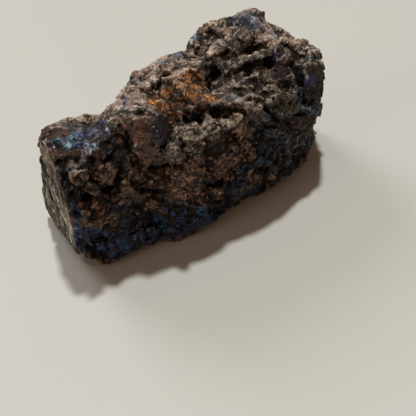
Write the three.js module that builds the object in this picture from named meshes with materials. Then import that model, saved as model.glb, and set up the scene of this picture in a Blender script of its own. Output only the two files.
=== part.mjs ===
// Peacock ore: one solid lump of bornite in its matrix, about 96 mm long.
// Millimetres, +Z up. X runs along the lump from its rind-covered left end, Y from the front to the
// back, and the lump rests on a flat spot at Z = 0. The origin is the bottom centre of its box.
//
// The lump is a union of a few convex blocks, each bounded by flat faces. A fine ball of triangles is
// stretched along a spine inside it, every corner is pushed out to the blocks' surface, and grains,
// knobs, ledges, pits and cracks then move it along the surface's own direction.
import * as THREE from 'three';
import { mergeVertices } from 'three/addons/utils/BufferGeometryUtils.js';

// ---- Driving dimensions -------------------------------------------------------------------------
const BALL_DETAIL = 21;              // 20 * (detail + 1)^2 triangles
const SPINE_LOW = [8, 5, 20];        // ends of the line that the corners are pushed out from
const SPINE_HIGH = [64, 8, 22];
const EVENING_ROUNDS = 20;           // times the corners are evened out
const REACH = 60;                    // farther from the spine than any part of the lump
const BLEND = 2.5;                   // rounding where two faces of a block meet
const JOIN = 3.0;                    // rounding where two blocks meet
const COARSE_GRAIN = 1.5;            // height of the 12 mm grains
const FINE_GRAIN = 1.1;              // height of the 6 mm grains

// A face is a point on it and its outward direction, kept as a direction and an offset.
function face(point, outward) {
  const normal = new THREE.Vector3(...outward).normalize();
  return { normal, offset: normal.dot(new THREE.Vector3(...point)) };
}

// ---- The blocks -----------------------------------------------------------------------------------
const blocks = {
  main: {
    front: face([40, -5.6, 0], [0, -1, -0.1]),
    frontRight: face([64, -1.6, 0], [0.28, -1, -0.08]),
    frontLeft: face([16, -2.6, 10], [-0.5, -1, -0.05]),
    top: face([40, -9, 36], [0, -0.2, 1]),
    backTop: face([40, 21.5, 42], [0, 1, 0.4]),
    back: face([50, 28, 15], [0, 1, 0.05]),
    rightEnd: face([75.7, 2.7, 0], [0.74, -0.67, -0.03]),
    backRight: face([82, 18, 20], [1, 0.25, 0.1]),
    topRight: face([72, 18, 39.5], [0.6, 0.1, 0.8]),
    shoulder: face([16, 14, 42], [-0.62, 0.78, 0.15]),
    left: face([4, 6, 20], [-1, 0, 0]),
  },
  left: {
    rind: face([-6.8, 5, 10], [-1, 0.08, -0.06]),
    front: face([0, -1.2, 10], [0, -1, -0.05]),
    shelf: face([0, -1, 42], [0, 0.01, 1]),
    backTop: face([0, 12.5, 39], [0, 0.88, 0.47]),
    back: face([0, 24, 10], [-0.1, 1, -0.2]),
    right: face([32, 6, 20], [1, 0, 0]),
    foot: face([-5, 0, 1], [-0.6, -0.6, -0.9]),
  },
  toe: {
    front: face([5, -6.4, 3], [0.08, -1, 0.15]),
    frontRight: face([8, -6.1, 3], [0.25, -1, 0.1]),
    left: face([-3, -1, 3], [-1, -0.6, 0]),
    right: face([17, -4, 3], [1, -0.2, 0]),
    top: face([5, -4, 6.5], [0, -0.5, 1]),
    back: face([5, 6, 3], [0, 1, 0]),
    low: face([5, -2, -1], [0, -0.3, -1]),
  },
  brow: {
    front: face([12, -4, 30], [-0.15, -1, -0.1]),
    top: face([12, -3, 44.5], [0, -0.05, 1]),
    left: face([6.5, 0, 40], [-1, -0.1, 0.1]),
    right: face([21, 0, 40], [1, -0.2, 0.6]),
    back: face([12, 10, 40], [-0.5, 1, 0]),
    underside: face([12, 0, 20], [0, -0.4, -1]),
  },
  crest: {
    back: face([58, 26.5, 40], [0, 1, 0.1]),
    top: face([60, 24, 44], [-0.07, 0, 1]),
    left: face([45, 24, 40], [-1, 0, 0.5]),
    right: face([70, 22, 42], [1, 0, 0.8]),
    slope: face([60, 14, 43], [0, -0.5, 1]),
    front: face([60, 4, 36], [0, -1, 0]),
    underside: face([60, 20, 30], [0, 0, -1]),
  },
  right: {
    end: face([68.5, -7.5, 25.5], [0.74, -0.67, 0.2]),
    front: face([62, -8.5, 27], [0.05, -0.8, 0.5]),
    underside: face([66, -7, 25], [0.1, -0.1, -1]),
    top: face([76, 12, 34], [0.55, 0, 0.85]),
    corner: face([84.5, 12, 28], [1, 0.3, 0.1]),
    back: face([70, 24, 30], [0, 1, 0]),
    left: face([63, 0, 30], [-1, 0, 0]),
  },
};

// The underside is nearly flat in the middle and rises a little to the lump's edges.
const underside = {
  middle: face([36, 8, -1.6], [0, 0, -1]),
  left: face([2, 8, -1], [-0.16, 0, -1]),
  right: face([64, 8, -1], [0.14, 0, -1]),
  front: face([36, -2, -1], [0, -0.3, -1]),
  back: face([36, 20, -1], [0, 0.2, -1]),
};

// ---- The relief -----------------------------------------------------------------------------------
// A stroke swells the surface along a line of points, or sinks it where its height is negative.
const stroke = (height, radius, ...points) => ({
  height,
  radius,
  points: points.map((point) => new THREE.Vector3(...point)),
});

const frontStrokes = [
  stroke(1.4, 3.5, [8, 1, 44], [12, -1, 45], [18, -3, 43]),             // rim of the brow
  stroke(2.0, 4.5, [20, -7, 35]),                                       // blunt grey crystal
  stroke(-3.0, 3.0, [19, -6, 39], [21, -4, 40]),                        // gap beside it
  stroke(1.6, 6.0, [24, -7, 36], [30, -7, 35]),                         // pale granular patch
  stroke(1.6, 7.0, [57, -7, 32]),                                       // rounded right-hand block
  stroke(-1.6, 2.5, [67, 0, 40], [65, -4, 37], [64, -6, 30]),           // cleft beside the column
  stroke(-2.2, 2.6, [7, -3, 39], [6, -3, 33], [5, -3, 29], [2, -2, 25], [-3, -2, 26]),
  stroke(-2.0, 3.0, [-6, -2, 28], [-1, -2, 26]),                        // hollow under the left block
  stroke(1.0, 4.0, [-5, -1, 34], [-1, -2, 32]),                         // nodules of the left block
  stroke(-1.4, 2.2, [9, -4, 35], [14, -4, 29], [18, -5, 28]),           // cracks below the brow
  stroke(-1.8, 2.6, [11, -3, 22], [15, -2, 18], [18, -3, 16]),
  stroke(-1.6, 2.6, [31, -8, 30]),
  stroke(-2.0, 3.2, [31, -6, 14], [36, -6, 15]),
  stroke(-1.6, 2.4, [48, -7, 22], [49, -7, 27]),
  stroke(1.2, 5.0, [38, -8, 26], [43, -8, 20]),
];

const footStrokes = [
  stroke(4.0, 13.0, [22, 7, -1], [50, 11, -1]),                         // flat spot it rests on
  stroke(-1.0, 3.0, [13, -2, 8], [14, -3, 12]),
  stroke(2.6, 4.0, [19, -5, 2], [25, -6, 3]),
  stroke(2.2, 4.5, [30, -6, 6]),
  stroke(-1.8, 3.0, [36, -6, 5]),
  stroke(-2.0, 3.5, [42, -6, 3], [44, -5, 2]),
  stroke(1.0, 5.0, [42, -6, 9]),
  stroke(-1.0, 3.5, [52, -5, 6]),
  stroke(2.2, 4.5, [55, -5, 3], [61, -4, 8]),
  stroke(1.2, 4.0, [68, 0, 3], [73, 2, 5]),
];

const topStrokes = [
  stroke(-3.0, 3.5, [26, -2, 40], [32, -3, 38], [38, -4, 37]),          // deep hollow behind the patch
  stroke(-1.2, 7.0, [30, 3, 41]),                                       // dip that holds the rust
  stroke(2.0, 5.5, [42, -2, 38], [47, -4, 37]),                         // three-cornered slab
  stroke(-1.6, 2.5, [50, -1, 38], [54, 0, 38], [58, 2, 39], [60, 5, 40]),
  stroke(1.6, 2.6, [44, 3, 39], [50, 2, 39], [56, 3, 39]),              // lowest of the three ledges
  stroke(-1.8, 2.4, [42, 5, 40], [49, 6, 40], [55, 5, 40], [61, 5, 40]),
  stroke(1.6, 2.4, [46, 8, 41], [53, 8, 41], [59, 7, 41], [63, 8, 42]),
  stroke(-2.2, 2.4, [47, 11, 42], [53, 10, 42], [60, 10, 42]),
  stroke(1.6, 3.0, [37, 14, 42], [45, 14, 42], [52, 14, 43], [61, 13, 43]),
  stroke(-1.4, 2.6, [36, 9, 41], [40, 6, 40]),
  stroke(1.0, 4.0, [20, 8, 44], [28, 16, 43]),
  stroke(1.6, 4.5, [52, 25, 44]),
  stroke(1.0, 4.5, [66, 22, 44]),
  stroke(-1.6, 3.5, [73, 17, 41]),
  stroke(0.6, 3.5, [77, 13, 36]),
  stroke(2.4, 4.5, [-7, 11, 39], [0, 13, 41]),                          // back corner of the shelf
  stroke(-3.4, 4.0, [3, 9, 42], [7, 9, 43], [11, 12, 41]),              // dip behind the shelf
  stroke(-2.0, 3.5, [18, 17, 41], [25, 17, 42], [31, 25, 38]),
  stroke(1.8, 3.5, [40, 21, 42], [44, 24, 41]),
  stroke(2.0, 3.5, [47, 26, 42], [50, 26, 45]),                         // left end of the crest
  stroke(-2.4, 3.0, [63, 27, 44], [66, 27, 44]),
  stroke(1.4, 3.0, [70, 25, 42], [72, 25, 41]),
  stroke(-2.2, 3.5, [70, 15, 42], [74, 20, 38]),
  stroke(-1.6, 3.0, [75, 15, 39]),
  stroke(1.6, 2.5, [81, 12, 36]),
];

const endStrokes = [
  stroke(1.6, 9.0, [-7, 16, 19]),                                       // swelling of the rind
  stroke(-0.9, 2.5, [-9, 4, 40], [-8, 5, 24], [-7, 6, 10]),             // furrows down the rind
  stroke(-0.8, 2.5, [-8, 10, 36], [-7, 12, 20], [-6, 13, 6]),
  stroke(-1.4, 2.5, [-8, 9, 25]),
  stroke(0.4, 4.0, [79, 6, 28], [81, 9, 24]),                           // knuckles of the right end
  stroke(-1.8, 2.8, [64, -5, 22], [70, -3, 21], [75, 2, 20]),           // notch under the right block
  stroke(-1.4, 3.0, [80, 12, 20], [78, 9, 14]),
  stroke(1.4, 5.0, [80, 16, 10]),
  stroke(-2.4, 3.5, [78, 2, 35], [81, 5, 30], [85, 9, 29]),                          // step in the column's edge
  stroke(-2.6, 4.0, [80, 4, 14], [83, 8, 10]),
  stroke(-1.4, 4.0, [76, 2, 10], [79, 5, 5]),
  stroke(2.2, 5.0, [-6, 15, 4], [-6, 18, 7], [-7, 18, 12]),                          // foot of the rind
  stroke(-1.8, 4.0, [-8, 17, 23]),
  stroke(-1.6, 3.5, [-6, 2, 5], [-7, 3, 8]),
];

const backStrokes = [
  stroke(-2.0, 4.0, [10, 20, 26], [22, 25, 22], [34, 28, 18]),          // long slanting cleft
  stroke(1.6, 6.0, [24, 26, 32], [36, 26, 30]),
  stroke(-1.6, 3.5, [44, 28, 34], [50, 29, 24], [48, 29, 14]),
  stroke(2.0, 7.0, [60, 29, 20]),
  stroke(-1.8, 3.5, [68, 28, 32], [74, 27, 22], [72, 28, 10]),
  stroke(1.4, 6.0, [6, 24, 12], [16, 27, 10]),
  stroke(-1.6, 4.0, [32, 28, 6], [42, 29, 8]),
];

const strokes = [...frontStrokes, ...footStrokes, ...topStrokes, ...endStrokes, ...backStrokes];

// ---- Noise --------------------------------------------------------------------------------------
// A number from 0 to 1 that belongs to one cell of a grid.
function chance(i, j, k, salt) {
  let h = Math.imul(i, 374761393) + Math.imul(j, 668265263) + Math.imul(k, 1274126177);
  h = Math.imul(h + Math.imul(salt, 974634777), 1103515245);
  h = Math.imul(h ^ (h >>> 13), 1274126177);
  return ((h ^ (h >>> 16)) >>> 0) / 4294967296;
}

// The height of the flat grain that p lies in: space is split into cells, each with its own tilt.
function grain(p, size, salt) {
  const cell = [p.x, p.y, p.z].map((v) => Math.floor(v / size));
  let nearest = Infinity;
  let height = 0;
  for (let n = 0; n < 27; n += 1) {
    const i = cell[0] + (n % 3) - 1;
    const j = cell[1] + (Math.floor(n / 3) % 3) - 1;
    const k = cell[2] + Math.floor(n / 9) - 1;
    const x = p.x / size - i - chance(i, j, k, salt);
    const y = p.y / size - j - chance(i, j, k, salt + 1);
    const z = p.z / size - k - chance(i, j, k, salt + 2);
    const away = x * x + y * y + z * z;
    if (away < nearest) {
      nearest = away;
      const tilt = [3, 4, 5].map((s) => chance(i, j, k, salt + s) - 0.5);
      height = 2 * (x * tilt[0] + y * tilt[1] + z * tilt[2]) + chance(i, j, k, salt + 6) - 0.5;
    }
  }
  return height;
}

// ---- The solid ----------------------------------------------------------------------------------
function smoothMin(a, b, radius) {
  const h = Math.max(radius - Math.abs(a - b), 0) / radius;
  return Math.min(a, b) - h * h * radius * 0.25;
}

// How deep p lies between a block's faces, in mm; negative outside.
function depthInBlock(p, faces) {
  let depth = REACH;
  for (const { normal, offset } of Object.values(faces)) {
    depth = smoothMin(depth, offset - normal.dot(p), BLEND);
  }
  return depth;
}

function depthInLump(p) {
  let depth = -REACH;
  for (const faces of Object.values(blocks)) {
    depth = -smoothMin(-depth, -depthInBlock(p, faces), JOIN);
  }
  return smoothMin(depth, depthInBlock(p, underside), BLEND);
}

// The outward direction of the blocks' surface at p.
function outwardAt(p) {
  const step = 1.0;
  const slope = (axis) => {
    const ahead = p.clone();
    const behind = p.clone();
    ahead[axis] += step;
    behind[axis] -= step;
    return depthInLump(behind) - depthInLump(ahead);
  };
  return new THREE.Vector3(slope('x'), slope('y'), slope('z')).normalize();
}

// Walks in from outside until the lump is met, then halves the last step.
function surfacePoint(start, direction) {
  const at = (t) => start.clone().addScaledVector(direction, t);
  const stride = 2;
  let outside = REACH;
  while (outside > stride && depthInLump(at(outside - stride)) < 0) {
    outside -= stride;
  }
  let inside = outside - stride;
  for (let i = 0; i < 10; i += 1) {
    const middle = (inside + outside) / 2;
    if (depthInLump(at(middle)) < 0) {
      outside = middle;
    } else {
      inside = middle;
    }
  }
  return at(inside);
}

const nearestOnLine = new THREE.Vector3();
const piece = new THREE.Line3();

// How far p is from a stroke's line of points.
function distanceToStroke(p, points) {
  let distance = p.distanceTo(points[0]);
  for (let i = 1; i < points.length; i += 1) {
    piece.set(points[i - 1], points[i]).closestPointToPoint(p, true, nearestOnLine);
    distance = Math.min(distance, p.distanceTo(nearestOnLine));
  }
  return distance;
}

// How far the surface stands out at p, in mm.
function relief(p) {
  let height = COARSE_GRAIN * grain(p, 12, 1) + FINE_GRAIN * grain(p, 6, 11);
  for (const { height: peak, radius, points } of strokes) {
    const share = distanceToStroke(p, points) / radius;
    if (share < 1) {
      height += peak * (1 - share * share) ** 2;
    }
  }
  return height;
}

// The corners that share an edge with each corner.
function neighboursOf(geometry) {
  const neighbours = Array.from({ length: geometry.attributes.position.count }, () => new Set());
  const { array } = geometry.index;
  for (let i = 0; i < array.length; i += 3) {
    for (let side = 0; side < 3; side += 1) {
      const a = array[i + side];
      const b = array[i + ((side + 1) % 3)];
      neighbours[a].add(b);
      neighbours[b].add(a);
    }
  }
  return neighbours;
}

// Slides each corner to the middle of its neighbours and back to the surface, so that the triangles
// come out alike in size all round the lump.
function evenOut(places, neighbours) {
  const middles = places.map((place, i) => {
    const middle = new THREE.Vector3();
    neighbours[i].forEach((n) => middle.add(places[n]));
    return middle.divideScalar(neighbours[i].size).lerp(place, 0.3);
  });
  middles.forEach((middle, i) => {
    for (let step = 0; step < 3; step += 1) {
      middle.addScaledVector(outwardAt(middle), 0.8 * depthInLump(middle));
    }
    places[i].copy(middle);
  });
}

function lumpGeometry() {
  const ball = new THREE.IcosahedronGeometry(1, BALL_DETAIL);
  ball.deleteAttribute('normal');
  ball.deleteAttribute('uv');
  const geometry = mergeVertices(ball, 1e-5);
  const corners = geometry.attributes.position;
  const low = new THREE.Vector3(...SPINE_LOW);
  const high = new THREE.Vector3(...SPINE_HIGH);
  const places = [];
  for (let i = 0; i < corners.count; i += 1) {
    const direction = new THREE.Vector3().fromBufferAttribute(corners, i);
    places.push(surfacePoint(low.clone().lerp(high, (direction.x + 1) / 2), direction));
  }
  const neighbours = neighboursOf(geometry);
  for (let round = 0; round < EVENING_ROUNDS; round += 1) {
    evenOut(places, neighbours);
  }
  places.forEach((place, i) => {
    const moved = place.clone().addScaledVector(outwardAt(place), relief(place));
    corners.setXYZ(i, moved.x, moved.y, Math.max(moved.z, 0));
  });
  geometry.computeBoundingBox();
  const centre = geometry.boundingBox.getCenter(new THREE.Vector3());
  geometry.translate(-centre.x, -centre.y, 0);
  geometry.computeVertexNormals();
  return geometry;
}

const rock = new THREE.MeshStandardMaterial({ color: 0x3a2d28, roughness: 0.6, metalness: 0.35 });
const lump = new THREE.Mesh(lumpGeometry(), rock);
lump.name = 'peacock_ore';

const specimen = new THREE.Group();
specimen.add(lump);
export default specimen;
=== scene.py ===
"""Peacock ore: a rough lump of tarnished bornite on a plain pale floor.

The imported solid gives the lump's size and main shapes. This script breaks its surface up into
angular chunks, ledges, cracks, pits and grains, and gives it one procedural material whose tints
are laid on named spots. Sculpting is done in millimetres, in the frame's own axes: X along the
lump from its rind-covered left end, Y from the front to the back, Z up. A place on the lump is
written either as (x, y, z) in millimetres or as the (x, y) pixel at which the 416 x 416 photograph
shows it, which `spot` turns into a point on the solid.
"""

import math

import bmesh
import bpy
import numpy as np
from mathutils import Matrix, Vector, noise
from mathutils.bvhtree import BVHTree
from mathutils.kdtree import KDTree


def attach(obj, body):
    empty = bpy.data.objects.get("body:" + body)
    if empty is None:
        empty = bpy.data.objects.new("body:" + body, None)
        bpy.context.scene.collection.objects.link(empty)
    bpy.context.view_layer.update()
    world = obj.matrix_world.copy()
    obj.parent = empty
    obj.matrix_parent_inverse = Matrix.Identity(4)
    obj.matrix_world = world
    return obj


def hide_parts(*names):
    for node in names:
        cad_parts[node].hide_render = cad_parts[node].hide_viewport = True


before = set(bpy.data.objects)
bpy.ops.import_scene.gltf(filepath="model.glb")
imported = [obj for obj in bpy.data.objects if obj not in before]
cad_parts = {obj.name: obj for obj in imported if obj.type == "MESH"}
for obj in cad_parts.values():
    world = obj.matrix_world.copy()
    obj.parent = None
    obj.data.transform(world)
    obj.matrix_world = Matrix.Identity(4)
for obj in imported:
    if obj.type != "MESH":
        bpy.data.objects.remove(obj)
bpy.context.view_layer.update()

# ---- Driving values ----
MM = 0.001
NODE = "peacock_ore"

PICTURE = 416                       # the photograph's side in pixels
FOCAL = 850                         # focal length in the same pixels
SENSOR = 36
CAMERA_PLACE = Vector((-102.8, -165.6, 170.6))
CAMERA_AZIMUTH = math.radians(-32.63)
CAMERA_ELEVATION = math.radians(42.48)
CAMERA_ROLL = math.radians(-1.53)
MIDDLE_PIXEL = Vector((190, 140))   # on the lump, for spots just outside the solid's outline

SUNS = {                            # direction, strength, width in degrees and colour
    "window above": ((0.09, 0.19, 1.0), 1.75, 4, (1.0, 0.985, 0.96)),
    "window behind": ((-0.20, 0.98, 0.7), 1.0, 30, (0.96, 0.98, 1.0)),
    "window on the left": ((-1.0, -0.05, 0.3), 0.42, 30, (1.0, 0.84, 0.68)),
}
ROOM_COLOUR = (1.0, 0.62, 0.42, 1)
ROOM_STRENGTH = 0.152
BACKDROP = (0.6, 0.58, 0.53, 1)
FLOOR_COLOUR = (0.68, 0.7, 0.66, 1)
FLOOR_ROUGHNESS = 0.6
FLOOR_SIDE = 4                      # metres

SHRINK = 0.5                        # the solid draws back this far before chunks are put on it
FORM_VOXEL = 0.8                    # skin that the large forms are pressed into
SKIN_VOXEL = 0.42                   # skin that takes the small relief
MOST_FACES = 190000
SLIVER = 0.01                       # edges shorter than this are dissolved
SEED = 8
CHUNK_COUNT = 200
CHUNK_SIZES = (1.4, 2.0, 4.2)       # smallest, commonest and largest half width of a chunk
CHUNK_CORNERS = 11
CHUNK_STRETCH = (0.75, 1.3)
CHUNK_SINK = 0.6                    # how deep its middle sits, and how much it is flattened
CHUNK_LEFT = -41                    # no chunk is farther left
CHUNK_TOP = 39                      # no chunk is higher up
RIND_FACING = (0.45, 0.7)           # how far skin faces left where the rind begins and is whole
RIND_REACH = (41, 42.5)             # how far left it lies there
TOP_FACING = (0.3, 0.6)             # how far skin faces up where the torn layers begin
WEATHERED_AND_LIT_FACING = (0.45, 0.75)     # and where the pale top, part weathering and part painted light, does
BEHIND_FACING = (-0.05, 0.25)       # how far skin faces away where the hidden sides' rock begins
FACING_ROUNDS = 12                  # smoothing of the skin's direction for all of these
HOLLOWS = {"fine hollow": 4, "wide hollow": 40}     # how far the skin is smoothed to find them
HAND_SET_REACH = (1.0, 2.4)         # how far round a listed block the skin keeps calm
SMOOTH_REACH = (0.8, 2.0)           # and round a smooth crystal
BLOCK_TINT_REACH = (0.7, 1.3)       # where a block's own tint ends
CREST_REACH = (36, 42)              # height over which the crest rises
CREST_RISE = 0.9
HAND_SET_SINK = 0.7                 # how far the skin draws back round the listed blocks
SLOPE = 0.45                        # how steeply the top and its layers rise along the lump
ALONG = (0.3, 1, 1)                 # stretches a pattern along the lump
STEP_HEIGHT = 2.8                   # between the ledges of the upper slope
NODULE = 4.6                        # width of the nodules on the fresh faces
NODULE_NOISE = 4
NOISE_STEP = np.array((1.0, 1.7, 2.3))      # moves a pattern to another part of the noise

BROAD_FACET = (6.0, 0.75, 1)        # width of the flat facets, how flat they are, and which noise
FACETS = (
    (3.2, 0.9, 2),
    (1.4, 0.75, 3),
)
JOLTS = {                           # jagged edges: size of the steps, their amount, which noise
    "forms": (2.4, 1.6, 11),
    "cracks": (1.6, 1.4, 11),
    "ledges": (1.8, 1.1, 17),
    "tints": (1.5, 1.8, 21),
    "nodules": (1.4, 1.0, 31),
    "layers": (1.6, 0.9, 35),
    "crests": (1.1, 0.7, 45),
}
RELIEF = {                          # height, width across, which noise
    "warp": (0.8, 4.0, 30),
    "breaks": (0.22, 7.5, 2),
    "swell behind": (1.2, 12.0, 50),
    "breaks behind": (0.3, 9.0, 51),
    "crests of the layers": (0.35, 5.0, 8),
    "breaks of the layers": (0.35, 4.5, 9),
    "waves of the ledges": (1.8, 5.0, 41),
    "small waves of the ledges": (0.4, 2.4, 42),
    "furrows": (0.3, 1.8, 3),
    "waves of the furrows": (0.5, 1.1, 5),
}

# ---- Large forms ----
# Height and radius in millimetres, and the line that the form follows. A height below 0 is a
# hollow.
FORMS = {
    "nodule bank": (0.7, 2.2, [(57, 154), (70, 154), (82, 155)]),
    "hollow under the blocks": (-3.6, 2.4, [(73, 195), (86, 199), (100, 200), (109, 197)]),
    "gap round the ball": (-2.2, 1.3, [(92, 176), (98, 174), (105, 168), (108, 160)]),
    "gap right of the blocks": (-2.4, 1.3, [(120, 166), (118, 177), (114, 187), (111, 196)]),
    "grey scoop": (-1.8, 2.6, [(110, 142), (112, 154)]),
    "shelf back edge": (0.2, 1.6, [(58, 123), (70, 119), (85, 119), (97, 117)]),
    "cave": (-3.0, 0.9, [(187, 119), (196, 117), (203, 115)]),
    "cave, middle": (-4.0, 1.1, [(201, 115), (208, 113), (216, 112)]),
    "cave, right": (-3.5, 0.8, [(223, 112), (229, 113)]),
    "gap by the prism": (-3.2, 1.7, [(176, 129), (173, 135), (170, 141), (165, 147)]),
    "rust hollow": (-1.5, 3.5, [(180, 98), (195, 104)]),
    "rust knob": (1.2, 2.2, [(163, 104), (172, 100)]),
    "rust nodules": (1.6, 1.6, [(193, 72), (203, 74)]),
    "black hole": (-4.5, 1.6, [(211, 82), (215, 74)]),
    "crest hollow": (-2.4, 1.2, [(199, 39), (205, 35), (213, 34)]),
    "left lens": (-1.3, 1.6, [(112, 113), (117, 111)]),
    "recess": (-1.6, 2.4, [(222, 56), (235, 53), (250, 51)]),
    "recess end": (-2.6, 1.5, [(250, 50), (256, 46)]),
    "pocket": (-3.6, 1.5, [(270, 61), (270, 67)]),
    "hollow under the first lip": (-1.6, 1.8, [(234, 69), (250, 69)]),
    "black step": (-2.4, 1.2, [(237, 81), (246, 84)]),
    "gap right of the slab": (-2.6, 1.2, [(257, 102), (264, 106), (271, 113), (280, 120)]),
    "knob on the right": (1.2, 1.8, [(263, 90), (271, 87)]),
    "crest scoop": (-1.2, 2.4, [(204, 43), (213, 39)]),
    "slope dip": (-1.6, 1.8, [(140, 89), (134, 96), (130, 103)]),
    "gap over the block": (-2.6, 1.8, [(282, 84), (290, 84), (297, 90)]),
    "striped recess": (-1.2, 2.6, [(284, 70), (295, 72)]),
    "cleft": (-3.0, 1.1, [(302, 64), (302, 78), (305, 87)]),
    "column hollow": (-2.2, 1.3, [(305, 108), (308, 103), (318, 102)]),
    "top right hollow": (-2.4, 1.6, [(286, 46), (296, 49), (305, 52), (302, 58)]),
    "notch line": (-2.0, 1.1, [(292, 123), (299, 129), (308, 130), (314, 125)]),
    "front hole": (-3.2, 1.9, [(213, 188), (222, 187)]),
    "front slot": (-2.4, 1.5, [(203, 202), (212, 200)]),
    "blue hole": (-2.4, 1.6, [(257, 173), (265, 172)]),
    "right hole": (-2.2, 1.5, [(281, 153), (285, 163)]),
    "middle hollow": (-2.2, 1.8, [(146, 190), (153, 194), (162, 192)]),
    "middle slot": (-2.2, 1.5, [(156, 198), (156, 205)]),
    "notch in the blocks": (-2.6, 1.7, [(254, 138), (260, 132)]),
    "dark steps": (-1.8, 1.3, [(241, 120), (244, 126)]),
    "dark steps beside": (-1.8, 1.2, [(254, 120), (253, 128)]),
    "lower left scar": (-1.6, 1.5, [(75, 230), (82, 231)]),
    "lower left pit": (-1.6, 1.4, [(118, 208), (126, 208)]),
    "blue scar": (-1.5, 1.6, [(145, 218), (155, 215)]),
    "foot overhang": (-0.6, 1.6, [(195, 232), (208, 230), (215, 222)]),
    "foot edge": (0.7, 2.0, [
        (150, 240), (170, 238), (186, 233), (204, 226), (222, 212), (240, 199),
    ]),
    "foot edge on the right": (0.8, 2.0, [(250, 196), (268, 189), (286, 176)]),
    "left foot": (1.4, 2.0, [(84, 250), (92, 254), (97, 255)]),
    "toe": (-1.0, 1.8, [(104, 258), (112, 258)]),
}

# Ledges: how high the lip is, how far the ledge reaches on either side, and the lip from left to
# right.
LEDGES = {
    "brow lip": (2.6, 3.0, [
        (196, 78), (200, 69), (210, 61), (218, 55), (226, 51), (233, 48), (243, 45), (250, 46),
        (256, 43), (262, 45),
    ]),
    "first lip": (2.6, 2.6, [
        (214, 66), (228, 66), (233, 63), (244, 62), (252, 63), (262, 62), (269, 60), (276, 57),
    ]),
    "second lip": (2.6, 2.6, [
        (230, 77), (241, 77), (246, 80), (254, 81), (264, 80), (270, 79), (274, 75), (276, 67),
        (279, 62), (289, 58), (295, 52), (304, 53),
    ]),
    "third lip": (2.0, 2.2, [(212, 91), (218, 86), (229, 86), (233, 89), (245, 87), (256, 86)]),
    "fourth lip": (1.6, 1.8, [(236, 94), (252, 96), (258, 90)]),
    "top right lip": (2.0, 2.0, [(281, 42), (288, 47), (297, 49), (304, 46)]),
    "rust lip": (1.0, 1.8, [(152, 97), (162, 91), (171, 85), (179, 78), (186, 76)]),
    "slope lip": (1.4, 2.2, [(128, 106), (142, 99), (152, 87), (162, 77), (178, 69), (196, 66)]),
    "back lip": (1.2, 2.0, [(126, 90), (138, 80), (154, 72), (170, 65), (186, 57)]),
    "shelf lip": (1.6, 2.2, [
        (44, 132), (50, 146), (62, 149), (74, 151), (86, 152), (96, 148), (106, 146),
    ]),
    "pale patch lip": (1.8, 2.2, [(180, 141), (192, 145), (205, 143), (216, 142), (228, 136)]),
    "smooth block rim": (1.2, 1.8, [(122, 113), (131, 111), (145, 111), (156, 115), (170, 119)]),
}

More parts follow.
